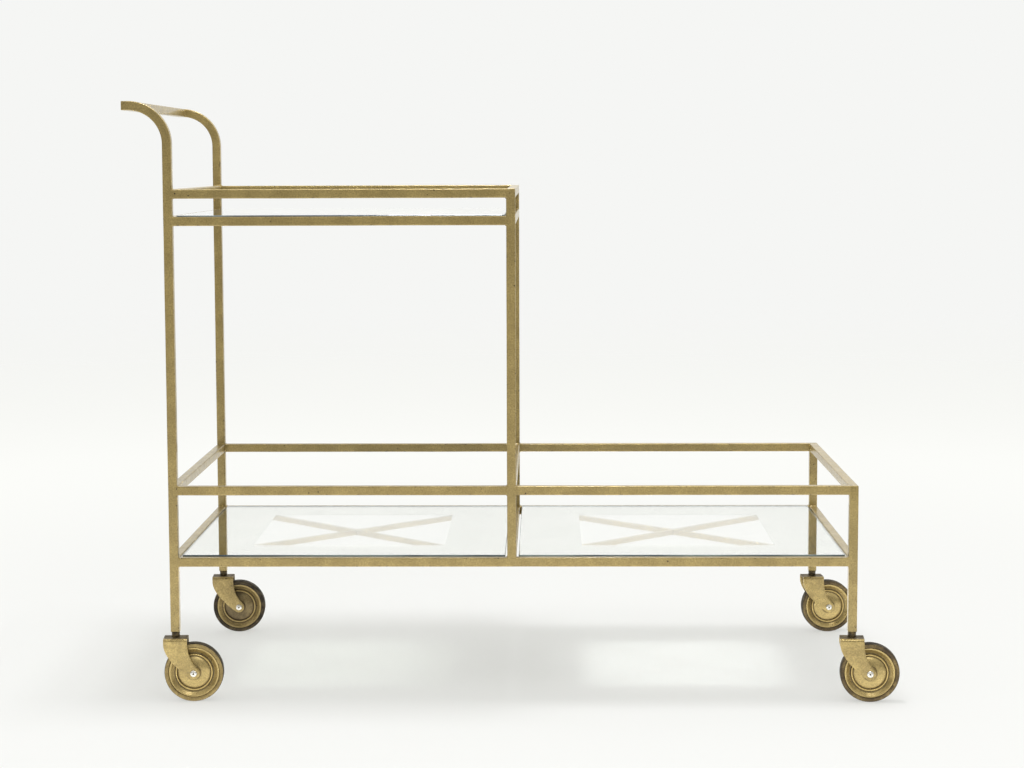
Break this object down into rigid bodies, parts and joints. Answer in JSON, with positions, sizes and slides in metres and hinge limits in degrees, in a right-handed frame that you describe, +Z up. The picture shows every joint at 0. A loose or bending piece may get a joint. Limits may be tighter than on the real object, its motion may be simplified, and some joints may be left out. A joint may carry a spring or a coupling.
{
  "type": "bar cart",
  "caption": "Stepped bar cart with a welded square-tube frame, gallery rails, loose mirror-bordered glass shelves on crossed braces, a bent push handle at the high end and swivel casters.",
  "frame": {"origin": "on the floor, under the middle of the whole cart's bounding box", "axes": "+X along the cart, from the handle end to the low end; +Y across it, from the front row of posts to the rear row; +Z up"},
  "size_m": [1.031, 0.4866, 0.803],
  "materials": {
    "gilt_frame": "aged gold paint, satin, worn",
    "gilt_caster": "aged gold paint, satin, pitted",
    "gilt_tyre": "dark rubber painted over in gold, worn",
    "bare_tyre": "dark rubber with traces of paint",
    "dark_steel": "darkened, oily",
    "rivet_steel": "bright",
    "mirror_glass": "polished glass, silvered behind in a wide border, clear in the middle"
  },
  "bodies": {
    "frame": {"brace_lower_left": "gilt_frame", "brace_lower_right": "gilt_frame", "brace_upper": "gilt_frame", "caster_socket_front_left": "dark_steel", "caster_socket_front_right": "dark_steel", "caster_socket_rear_left": "dark_steel", "caster_socket_rear_right": "dark_steel", "caster_stem_front_left": "dark_steel", "caster_stem_front_right": "dark_steel", "caster_stem_rear_left": "dark_steel", "caster_stem_rear_right": "dark_steel", "handle_bar": "gilt_frame", "lower_gallery_front_left": "gilt_frame", "lower_gallery_front_right": "gilt_frame", "lower_gallery_left": "gilt_frame", "lower_gallery_middle": "gilt_frame", "lower_gallery_rear_left": "gilt_frame", "lower_gallery_rear_right": "gilt_frame", "lower_gallery_right": "gilt_frame", "lower_shelf_rail_front": "gilt_frame", "lower_shelf_rail_left": "gilt_frame", "lower_shelf_rail_middle": "gilt_frame", "lower_shelf_rail_rear": "gilt_frame", "lower_shelf_rail_right": "gilt_frame", "post_left_front": "gilt_frame", "post_left_rear": "gilt_frame", "post_middle_front": "gilt_frame", "post_middle_rear": "gilt_frame", "post_right_front": "gilt_frame", "post_right_rear": "gilt_frame", "upper_gallery_front": "gilt_frame", "upper_gallery_left": "gilt_frame", "upper_gallery_rear": "gilt_frame", "upper_gallery_right": "gilt_frame", "upper_shelf_rail_front": "gilt_frame", "upper_shelf_rail_left": "gilt_frame", "upper_shelf_rail_rear": "gilt_frame", "upper_shelf_rail_right": "gilt_frame"},
    "swivel_front_left": {"caster_axle_front_left": "rivet_steel", "caster_fork_front_left": "gilt_caster"},
    "swivel_front_right": {"caster_axle_front_right": "rivet_steel", "caster_fork_front_right": "gilt_caster"},
    "swivel_rear_left": {"caster_axle_rear_left": "rivet_steel", "caster_fork_rear_left": "gilt_caster"},
    "swivel_rear_right": {"caster_axle_rear_right": "rivet_steel", "caster_fork_rear_right": "gilt_caster"},
    "wheel_front_left": {"caster_tyre_front_left": "gilt_tyre", "caster_wheel_front_left": "gilt_caster"},
    "wheel_front_right": {"caster_tyre_front_right": "gilt_tyre", "caster_wheel_front_right": "gilt_caster"},
    "wheel_rear_left": {"caster_tyre_rear_left": "bare_tyre", "caster_wheel_rear_left": "gilt_caster"},
    "wheel_rear_right": {"caster_tyre_rear_right": "gilt_tyre", "caster_wheel_rear_right": "gilt_caster"},
    "glass_lower_left_sheet": {"glass_lower_left": "mirror_glass"},
    "glass_lower_right_sheet": {"glass_lower_right": "mirror_glass"},
    "glass_upper_sheet": {"glass_upper": "mirror_glass"}
  },
  "joints": [
    {"name": "swivel_front_left", "type": "hinge", "parent": "frame", "child": "swivel_front_left", "pos_m": [-0.45646, -0.224, 0.0857], "axis": [0, 0, 1], "continuous": true},
    {"name": "roll_front_left", "type": "hinge", "parent": "swivel_front_left", "child": "wheel_front_left", "pos_m": [-0.43252, -0.22233, 0.03966], "axis": [-0.0698, 0.9976, 0], "continuous": true},
    {"name": "swivel_rear_left", "type": "hinge", "parent": "frame", "child": "swivel_rear_left", "pos_m": [-0.45646, 0.224, 0.0857], "axis": [0, 0, 1], "continuous": true},
    {"name": "roll_rear_left", "type": "hinge", "parent": "swivel_rear_left", "child": "wheel_rear_left", "pos_m": [-0.43249, 0.22526, 0.03966], "axis": [-0.0523, 0.9986, 0], "continuous": true},
    {"name": "swivel_front_right", "type": "hinge", "parent": "frame", "child": "swivel_front_right", "pos_m": [0.45154, -0.224, 0.0857], "axis": [0, 0, 1], "continuous": true},
    {"name": "roll_front_right", "type": "hinge", "parent": "swivel_front_right", "child": "wheel_front_right", "pos_m": [0.47548, -0.22567, 0.03966], "axis": [0.0698, 0.9976, 0], "continuous": true},
    {"name": "swivel_rear_right", "type": "hinge", "parent": "frame", "child": "swivel_rear_right", "pos_m": [0.45154, 0.224, 0.0857], "axis": [0, 0, 1], "continuous": true},
    {"name": "roll_rear_right", "type": "hinge", "parent": "swivel_rear_right", "child": "wheel_rear_right", "pos_m": [0.47548, 0.22567, 0.03966], "axis": [-0.0698, 0.9976, 0], "continuous": true},
    {"name": "lift_glass_upper", "type": "slide", "parent": "frame", "child": "glass_upper_sheet", "axis": [0, 0, 1], "range_m": [0, 0.06]},
    {"name": "lift_glass_lower_left", "type": "slide", "parent": "frame", "child": "glass_lower_left_sheet", "axis": [0, 0, 1], "range_m": [0, 0.12]},
    {"name": "lift_glass_lower_right", "type": "slide", "parent": "frame", "child": "glass_lower_right_sheet", "axis": [0, 0, 1], "range_m": [0, 0.12]}
  ]
}
